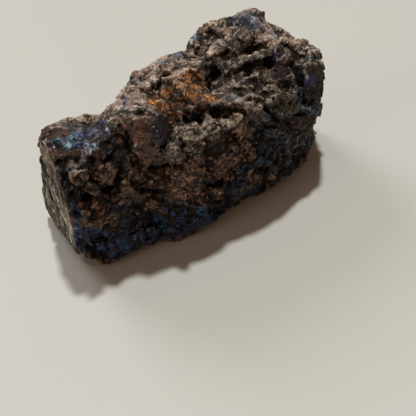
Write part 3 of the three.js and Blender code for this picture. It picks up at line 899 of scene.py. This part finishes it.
def scattered_chunks(points, faces):
    chance = np.random.default_rng(SEED)
    a, b, c = (points[faces[:, i]] for i in range(3))
    flat = np.cross(b - a, c - a)
    area = np.linalg.norm(flat, axis=1)
    outwards = flat / area[:, None]
    allowed = (outwards[:, 0] > -0.6) & (outwards[:, 2] > -0.8)
    allowed &= (a[:, 0] > CHUNK_LEFT) & (a[:, 2] < CHUNK_TOP)
    weight = area * (allowed & (hand_set((a + b + c) / 3) < 0.2))
    made = []
    for face in chance.choice(len(faces), CHUNK_COUNT, p=weight / weight.sum()):
        place = chance.dirichlet((1, 1, 1)) @ points[faces[face]]
        size = chance.triangular(*CHUNK_SIZES)
        centre = place - outwards[face] * size * CHUNK_SINK
        made.append(chunk(chance, centre, outwards[face], size))
    return made


def block(outer, inward):
    """The hull of an outline and of the same outline, a little smaller, farther in."""
    middle = outer.mean(axis=0)
    return hull(np.vstack([outer, middle + 0.8 * (outer - middle) + inward]))


# ---- The skin ----
def pressed(points, strokes, jolt):
    """How far each point moves outward for the strokes (height, radius, line)."""
    laid = jolted(points, jolt)
    moved = np.zeros(len(points))
    for height, radius, places in strokes:
        moved += height * near_line(laid, places, radius, 0.2, 1.3)
    return moved


def beside_ledges(points):
    """For each ledge its height, its reach, each point's distance from its lip, and its side.

    The side is 1 above the lip, -1 below it and 0 out of reach.
    """
    laid = jolted(points, "ledges")
    for height, reach, places in LEDGES.values():
        line = line_of(places)
        nearest = np.full(len(points), reach)
        side = np.zeros(len(points))
        for start, end in zip(line[:-1], line[1:]):
            run = end - start
            along = np.clip((laid - start) @ run / (run @ run), 0, 1)
            offset = laid - start - along[:, None] * run
            away = np.linalg.norm(offset, axis=1)
            closer = away < nearest
            nearest[closer] = away[closer]
            side[closer] = np.sign(offset[closer] @ np.cross(BACK, run))
        yield height, reach, nearest, side


def terraced(points):
    """How far each point moves outward for the ledges, and 1 on their lips or -1 under them."""
    moved = np.zeros(len(points))
    lip = np.zeros(len(points))
    for height, reach, nearest, side in beside_ledges(points):
        moved += 0.5 * height * side * (1 - nearest / reach)
        under = -falling(nearest, 0.7, 1.7)
        lip += np.where(side > 0, falling(nearest, 0.4, 1.2), under)
    return moved, np.clip(lip, -1, 1) * (np.abs(moved) > 0)


def zones(points, faces):
    """Each point's outward direction over a few millimetres, and the shares of rind and top."""
    outward = normalised(spread(normals_of(points, faces), edges_of(faces), FACING_ROUNDS))
    on_rind = smoothstep(-outward[:, 0], *RIND_FACING) * smoothstep(-points[:, 0], *RIND_REACH)
    on_top = smoothstep(outward[:, 2], *TOP_FACING) * (1 - on_rind)
    return outward, on_rind, on_top


def smooth_blocks(points):
    """1 on the faces of the smooth crystals, and 0 elsewhere."""
    slabs = [slab for slab in SLABS.values() if slab[1] in SMOOTH_TINTS]
    return near_slabs(points, slabs, *SMOOTH_REACH)


def layered(points):
    """The weathered top: torn layers along the lump, with sharp crests and hollows between."""
    along = jolted(points, "layers")
    along[:, 2] -= SLOPE * along[:, 0]
    along *= ALONG
    crests = raised("crests of the layers", ridges, along)
    return crests + raised("breaks of the layers", breaks, along) - 0.2


def stepped(points):
    """How far up or down each point moves to make ledges with sharp lips."""
    height = points[:, 2] + raised("waves of the ledges", clouds, points * ALONG)
    height += raised("small waves of the ledges", clouds, points)
    part = (height / STEP_HEIGHT) % 1
    return STEP_HEIGHT * (smoothstep(part, 0.65, 0.9) - part + 0.25)


def formed():
    """The solid, drawn back a little, with broad facets, layers and the large forms."""
    inner = solid_points - SHRINK * normals_of(solid_points, solid_faces)
    points, faces = remeshed(inner, solid_faces, FORM_VOXEL)
    points = faceted(points, faces, *BROAD_FACET)
    outward, on_rind, on_top = zones(points, faces)
    rough = 1 - smooth_blocks(points)
    set_by_hand = hand_set(points)
    free = rough * (1 - set_by_hand)
    warped = points + raised("warp", clouds, points)[:, None]
    moved = raised("breaks", breaks, warped) * free * (1 - on_rind)
    moved += on_top * free * layered(points) - HAND_SET_SINK * set_by_hand * rough
    moved += pressed(points, FORMS.values(), "forms")
    moved += CREST_RISE * free * smoothstep(points[:, 2], *CREST_REACH)
    hidden = raised("swell behind", clouds, points) + raised("breaks behind", breaks, points)
    moved += smoothstep(-outward @ np.array(BACK), 0, 0.5) * hidden
    rise, lip = terraced(points)
    points = points + (moved + rise)[:, None] * outward
    points[:, 2] += on_top * free * smoothstep(points[:, 0], 2, 12) * stepped(points)
    return points, faces, lip


def furrows(points):
    """Fine upright furrows in the rind on the left end, with a few deep nicks across them."""
    upright = points * (1, 1, 0.09)
    nicks = smoothstep(clouds(points * (1, 1, 0.6), 2.6, 9), 0.35, 0.5)
    waves = raised("waves of the furrows", clouds, upright)
    return raised("furrows", ridges, upright) + waves - 0.9 * nicks


def cracked(points):
    """The fresh faces: angular nodules with open cracks between them."""
    places = jolted(points, "nodules")
    patchy = smoothstep(clouds(points, 9, 7), -0.3, 0.1)
    wide = clefts(places, NODULE, 1.0, NODULE_NOISE) * patchy
    return -wide - 0.25 * clefts(places, NODULE / 2, 0.7, 5)


def chipped(points, faces):
    """Flat facets everywhere, fewer on the rind and the listed blocks."""
    _, on_rind, _ = zones(points, faces)
    rough = (1 - 0.8 * on_rind) * (1 - 0.4 * hand_set(points))
    for size, share, shift in FACETS:
        points = faceted(points, faces, size, share * rough, shift)
    return points


def relieved(points, faces):
    """The cracks, the furrows on the rind and the finest crests."""
    outward, on_rind, on_top = zones(points, faces)
    crests = ridges(jolted(points, "crests") * (0.5, 1, 1), 2.2, 12)
    relief = (1 - 0.85 * on_top) * cracked(points) + (0.04 + 0.06 * on_top) * crests
    relief *= (1 - 0.9 * smooth_blocks(points)) * (1 - on_rind) * (1 - 0.5 * hand_set(points))
    relief += on_rind * furrows(points)
    strokes = [(-depth, width, places) for width, depth, places in CRACKS.values()]
    relief += pressed(points, strokes, "cracks")
    points = points + relief[:, None] * outward
    points[:, 2] = np.maximum(points[:, 2], 0)
    return points


def sculpted():
    """The lump's skin, and 1 on the lips of its ledges, -1 under them and 0 elsewhere."""
    base, base_faces, base_lip = formed()
    parts = [(base, base_faces)] + scattered_chunks(solid_points, solid_faces)
    for depth, _, corners in SLABS.values():
        parts.append(block(face_of(corners), -depth * np.array(BACK)))
    parts.append(block(np.array(RIND), (RIND_DEPTH, 0, 0)))
    points, faces = remeshed(*joined(parts), SKIN_VOXEL)
    points = relieved(chipped(points, faces), faces)
    ratio = min(1, MOST_FACES / len(faces))
    points, faces = one_body(*modified(points, faces, "DECIMATE", ratio=ratio))
    return points, faces, carried(base, base_lip, points)


def carried(sources, values, points):
    """At each point, the mean of the values at the three sources nearest to it."""
    tree = KDTree(len(sources))
    for number, place in enumerate(sources.tolist()):
        tree.insert(place, number)
    tree.balance()
    nearest = [[found[1] for found in tree.find_n(place, 3)] for place in points.tolist()]
    return np.mean(values[np.array(nearest)], axis=1)


# ---- Masks ----
def cover_most(share, points, strokes, low, high):
    """A share at each point, raised to 1 along strokes (radius, line)."""
    for radius, places in strokes:
        share = np.maximum(share, near_line(points, places, radius, low, high))
    return share


def masks(points, faces):
    """The numbers at each point that the material reads."""
    edges = edges_of(faces)
    outward = normals_of(points, faces)
    laid = jolted(points, "tints")
    none = np.zeros(len(points))
    found = {name: cover_most(none, laid, lines, 0.4, 1.6) for name, lines in TINTS.items()}
    for slab in SLABS.values():
        on_slab = near_slabs(points, [slab], *BLOCK_TINT_REACH)
        found[slab[1]] = np.maximum(found[slab[1]], on_slab)
    for name, rounds in HOLLOWS.items():
        found[name] = np.sum((spread(points, edges, rounds) - points) * outward, axis=1)
    lines = [(width, places) for width, _, places in CRACKS.values()]
    between = np.clip(-cracked(points), 0, 1)
    found["crack"] = cover_most(between, jolted(points, "cracks"), lines, 0.5, 1.2)
    middles = cell_middles(jolted(points, "nodules"), NODULE, NODULE_NOISE)
    found["nodule"] = np.modf(np.abs(np.sin(middles @ (12.9, 78.2, 37.7)) * 437.5))[0]
    broad, found["rind"], _ = zones(points, faces)
    found["weathered_and_lit_top"] = smoothstep(broad[:, 2], *WEATHERED_AND_LIT_FACING)
    found["behind"] = smoothstep(-broad @ np.array(BACK), *BEHIND_FACING)
    return found


# ---- Materials ----
def paint(red, green, blue):
    """An sRGB colour in 0 to 255 as the linear colour that a shader takes."""
    shares = (value / 255 for value in (red, green, blue))
    return tuple(v / 12.92 if v < 0.04045 else ((v + 0.055) / 1.055) ** 2.4 for v in shares) + (1,)


class Tree:
    """Short calls for the nodes of one material. Sizes are in millimetres."""

    def __init__(self, name):
        self.material = bpy.data.materials.new(name)
        self.material.use_nodes = True
        self.nodes = self.material.node_tree.nodes
        self.links = self.material.node_tree.links
        self.shader = self.nodes["Principled BSDF"]
        self.places = self.nodes.new("ShaderNodeTexCoord").outputs["Object"]

    def put(self, value, socket):
        if isinstance(value, bpy.types.NodeSocket):
            self.links.new(value, socket)
        else:
            socket.default_value = value

    def made(self, kind, values, **settings):
        """A node with these settings, and these values in its first sockets or by their names."""
        node = self.nodes.new("ShaderNode" + kind)
        for name, setting in settings.items():
            setattr(node, name, setting)
        named = values.items() if isinstance(values, dict) else enumerate(values)
        for socket, value in named:
            self.put(value, node.inputs[socket])
        return node.outputs

    def mask(self, name):
        return self.made("Attribute", (), attribute_name=name)["Fac"]

    def sum(self, kind, first, *others):
        for other in others:
            first = self.made("Math", (first, other), operation=kind)[0]
        return first

    def plus(self, *values):
        return self.sum("ADD", *values)

    def times(self, *values):
        return self.sum("MULTIPLY", *values)

    def most(self, *values):
        return self.sum("MAXIMUM", *values)

    def ranged(self, value, low, high, to_low=0.0, to_high=1.0):
        return self.made("MapRange", (value, low, high, to_low, to_high))[0]

    def mix(self, share, a, b, kind="MIX"):
        sockets = {0: share, 6: a, 7: b}
        return self.made("Mix", sockets, data_type="RGBA", blend_type=kind)[2]

    def vectors(self, kind, a, b):
        return self.made("VectorMath", (a, b), operation=kind)

    def clouds(self, size, detail=3.0, rough=0.6, places=None, kind="FBM"):
        """Noise with features about that far apart."""
        values = {
            "Vector": places or self.places,
            "Scale": 1 / (size * MM),
            "Detail": detail,
            "Roughness": rough,
        }
        return self.made("TexNoise", values, noise_type=kind)["Fac"]

    def facets(self, size):
        """Flat facets of about that size: their height, and a random shade for each."""
        cells = self.made("TexVoronoi", {"Vector": self.places, "Scale": 1 / (size * MM)})
        offset = self.vectors("SUBTRACT", self.places, cells["Position"])["Vector"]
        tilt = self.vectors("SUBTRACT", cells["Color"], (0.5, 0.5, 0.5))["Vector"]
        height = self.vectors("DOT_PRODUCT", offset, tilt)["Value"]
        shade = self.vectors("LENGTH", tilt, (0, 0, 0))["Value"]
        return self.sum("DIVIDE", height, MM), shade

    def crackle(self, size, width):
        """1 on thin crooked lines that part the surface into cells of that size, 0 between."""
        noisy = self.made("TexNoise", {"Vector": self.places, "Scale": 1.6 / (size * MM)})
        bent = self.mix(0.4 * size * MM, self.places, noisy["Color"], "ADD")
        values = {"Vector": bent, "Scale": 1 / (size * MM)}
        cells = self.made("TexVoronoi", values, feature="DISTANCE_TO_EDGE")
        return self.ranged(cells["Distance"], width / size, 0)

    def ragged(self, mask, breakup, amount):
        """A mask with its edge broken up by a noise."""
        shifted = self.plus(mask, self.ranged(breakup, 0, 1, -amount, amount))
        return self.ranged(shifted, 0.35, 0.65)

    def blended(self, first, second, share, low, high):
        """Two noises mixed, with that share of the first, and drawn out to 0 and 1."""
        mixed = self.plus(self.times(first, share), self.times(second, 1 - share))
        return self.ranged(mixed, low, high)


def rock_colour(tree, middle, grains):
    """Brown and slate nodules, grey and dun patches behind, and pale tops: part weathering, part
    painted light on the skin that faces up.
    """
    nodule = tree.mask("nodule")
    brightest = tree.mix(nodule, paint(96, 73, 61), paint(214, 168, 136))
    brown = tree.mix(grains["soft"], paint(40, 28, 22), brightest)
    slate = tree.mix(grains["soft"], paint(14, 14, 18), paint(66, 70, 78))
    fresh = tree.mix(tree.ragged(tree.ranged(nodule, 0.1, 0.3), middle, 0.8), slate, brown)
    grey = tree.mix(grains["speck"], paint(26, 24, 25), paint(112, 103, 98))
    dun = tree.mix(grains["speck"], paint(30, 21, 17), paint(134, 106, 89))
    patched = tree.mix(tree.ranged(tree.clouds(7, 4), 0.46, 0.54), grey, dun)
    fresh = tree.mix(tree.times(tree.mask("behind"), 0.85), fresh, patched)
    # Painted light, part weathering: skin that faces up takes a much paler colour.
    weathered_and_lit_top = tree.mix(grains["speck"], paint(98, 82, 70), paint(250, 224, 198))
    return tree.mix(tree.ragged(tree.mask("weathered_and_lit_top"), middle, 0.4), fresh, weathered_and_lit_top)


def tinted(tree, colour, middle, grains):
    """The colour with every tint laid over it in turn, and the share that each one covers."""
    shares = {}
    for name, (dark, light, ragged, most) in COVERS.items():
        shares[name] = tree.times(tree.ragged(tree.mask(name), middle, ragged), most)
        tint = tree.mix(grains[GRAINS.get(name, "speck")], paint(*dark), paint(*light))
        colour = tree.mix(shares[name], colour, tint)
    return colour, shares


def hollows(tree, shares):
    """How much painted shade each point gets: in hollows and cracks, under ledges and in the
    finest crackle.
    """
    weathered_and_lit_top = tree.times(tree.mask("weathered_and_lit_top"), 0.75)
    sound = tree.most(tree.mask("rind"), *(shares[name] for name in SMOOTH_TINTS), weathered_and_lit_top)
    lines = tree.most(tree.crackle(3.4, 0.4), tree.times(tree.crackle(1.7, 0.25), 0.35))
    hollow = tree.plus(
        tree.ranged(tree.mask("fine hollow"), 0.04, 0.26),
        tree.ranged(tree.mask("wide hollow"), 0.3, 1.4),
        tree.mask("crack"),
        tree.times(tree.mask("undercut"), 0.4),
        tree.times(lines, tree.ranged(sound, 0, 1, 1, 0)),
    )
    return tree.times(hollow, tree.ranged(shares["pale"], 0, 1, 1, 0.3))


def painted_shade_and_highlit_edges(tree, colour, shares):
    """The colour with painted shade in the hollows, and with pale edges on the top, part wear and
    part painted highlight.
    """
    # Painted shade: hollows, cracks and the skin under ledges are darkened to near black.
    colour = tree.mix(tree.ranged(hollows(tree, shares), 0, 1, 0, 0.92), colour, paint(12, 9, 8))
    # Painted highlight, part edge wear: convex edges of the top that faces up are screened paler.
    edge = tree.times(
        tree.ranged(tree.mask("fine hollow"), -0.08, -0.26),
        tree.mask("weathered_and_lit_top"),
        tree.ranged(shares["umber"], 0, 1, 1, 0),
        0.4,
    )
    return tree.mix(edge, colour, paint(226, 206, 182), "SCREEN")


def dusted_with_painted_glints(tree, colour, plum, small_shade, broad_shade):
    """The colour with each facet a little lighter or darker, with dust and with painted glints."""
    shade = tree.plus(
        tree.ranged(small_shade, 0.2, 0.8, 0.2, -0.3),
        tree.ranged(broad_shade, 0.2, 0.8, 1.1, 0.8),
        tree.ranged(tree.clouds(0.4, 2, 0.9), 0.3, 0.7, -0.55, 0.55),
    )
    colour = tree.mix(1.0, colour, tree.made("CombineXYZ", (shade,) * 3)[0], "MULTIPLY")
    # Painted highlight: sparse pale specks stand in for glints, more of them on the prism.
    painted_glints = tree.plus(tree.clouds(0.5, 1), tree.ranged(plum, 0, 1, 0, 0.06))
    return tree.mix(tree.ranged(painted_glints, 0.73, 0.76, 0, 0.7), colour, paint(226, 216, 206))


def bumped(tree, height):
    """The surface's normal over facets of that height and two finer noises."""
    for size, kind in ((1.6, "RIDGED_MULTIFRACTAL"), (0.6, "FBM")):
        height = tree.plus(height, tree.times(tree.clouds(size, 3, 0.7, kind=kind), 0.2))
    return tree.made("Bump", {"Strength": 0.9, "Distance": MM, "Height": height})["Normal"]


def lump_material():
    tree = Tree("bornite")
    middle = tree.clouds(1.8, 4)
    fine = tree.clouds(0.6, 3, 0.8)
    upright = tree.made("Mapping", {"Vector": tree.places, "Scale": (1, 1, 0.07)})["Vector"]
    grains = {
        "speck": tree.blended(middle, fine, 0.4, 0.44, 0.57),
        "soft": tree.blended(middle, fine, 0.65, 0.42, 0.58),
        "streaks": tree.ranged(tree.clouds(1.2, 5, 0.75, upright), 0.43, 0.57),
    }
    small, small_shade = tree.facets(0.8)
    broad, broad_shade = tree.facets(1.9)
    colour, shares = tinted(tree, rock_colour(tree, middle, grains), middle, grains)
    colour = painted_shade_and_highlit_edges(tree, colour, shares)
    colour = dusted_with_painted_glints(tree, colour, shares["plum"], small_shade, broad_shade)
    tarnish = tree.most(*(shares[name] for name in TARNISH))
    sheen = tree.most(tarnish, *(shares[name] for name in SMOOTH_TINTS))
    gloss = tree.sum("SUBTRACT", sheen, tree.times(fine, 0.4))
    surface = {
        "Base Color": colour,
        "Metallic": tree.ranged(tarnish, 0, 1, 0.05, 0.3),
        "Roughness": tree.ranged(gloss, 0, 0.8, 0.78, 0.36),
        "Normal": bumped(tree, tree.plus(small, broad)),
    }
    for name, value in surface.items():
        tree.put(value, tree.shader.inputs[name])
    return tree.material


def floor_material():
    made = bpy.data.materials.new("floor")
    made.use_nodes = True
    shader = made.node_tree.nodes["Principled BSDF"]
    shader.inputs["Base Color"].default_value = FLOOR_COLOUR
    shader.inputs["Roughness"].default_value = FLOOR_ROUGHNESS
    return made


# ---- Stage ----
def make_floor():
    bpy.ops.mesh.primitive_plane_add(size=FLOOR_SIDE)
    floor = bpy.context.object
    floor.name = "floor"
    floor.data.materials.append(floor_material())


def add_sun(name, toward, strength, width, colour):
    """A lamp far away in that direction, seen that many degrees wide."""
    lamp = bpy.data.lights.new(name, "SUN")
    lamp.energy = strength
    lamp.angle = math.radians(width)
    lamp.color = colour
    sun = placed(name, lamp)
    sun.rotation_mode = "QUATERNION"
    sun.rotation_quaternion = Vector(toward).to_track_quat("Z", "Y")


def room_light():
    """The warm light of the room, which the camera sees as a plain pale backdrop."""
    world = bpy.data.worlds.new("room")
    world.use_nodes = True
    nodes, links = world.node_tree.nodes, world.node_tree.links
    warm = nodes["Background"]
    warm.inputs["Color"].default_value = ROOM_COLOUR
    warm.inputs["Strength"].default_value = ROOM_STRENGTH
    pale = nodes.new("ShaderNodeBackground")
    pale.inputs["Color"].default_value = BACKDROP
    either = nodes.new("ShaderNodeMixShader")
    links.new(nodes.new("ShaderNodeLightPath").outputs["Is Camera Ray"], either.inputs[0])
    links.new(warm.outputs[0], either.inputs[1])
    links.new(pale.outputs[0], either.inputs[2])
    links.new(either.outputs[0], nodes["World Output"].inputs["Surface"])
    return world


def make_lights():
    for name, values in SUNS.items():
        add_sun(name, *values)
    bpy.context.scene.world = room_light()
    bpy.context.scene.view_settings.view_transform = "Standard"


def make_camera():
    data = bpy.data.cameras.new("camera")
    data.sensor_width = SENSOR
    data.lens = FOCAL / PICTURE * SENSOR
    camera = placed("camera", data)
    axes = Matrix((RIGHT, UP, BACK)).transposed()
    camera.matrix_world = Matrix.Translation(CAMERA_PLACE * MM) @ axes.to_4x4()
    bpy.context.scene.camera = camera


# ---- Assembly ----
def make_lump():
    points, faces, lip = sculpted()
    mesh = mesh_of("lump", points, faces)
    found = masks(points, faces)
    # Painted light and shade: the lips of the ledges are painted paler, the skin under them
    # darker.
    found["lip"] = np.maximum(lip, 0)
    found["undercut"] = np.maximum(-lip, 0)
    for name, values in found.items():
        mesh.attributes.new(name, "FLOAT", "POINT").data.foreach_set("value", values)
    mesh.materials.append(lump_material())
    lump = placed("lump", mesh)
    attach(lump, "root")
    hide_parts(NODE)


make_lump()
make_floor()
make_lights()
make_camera()
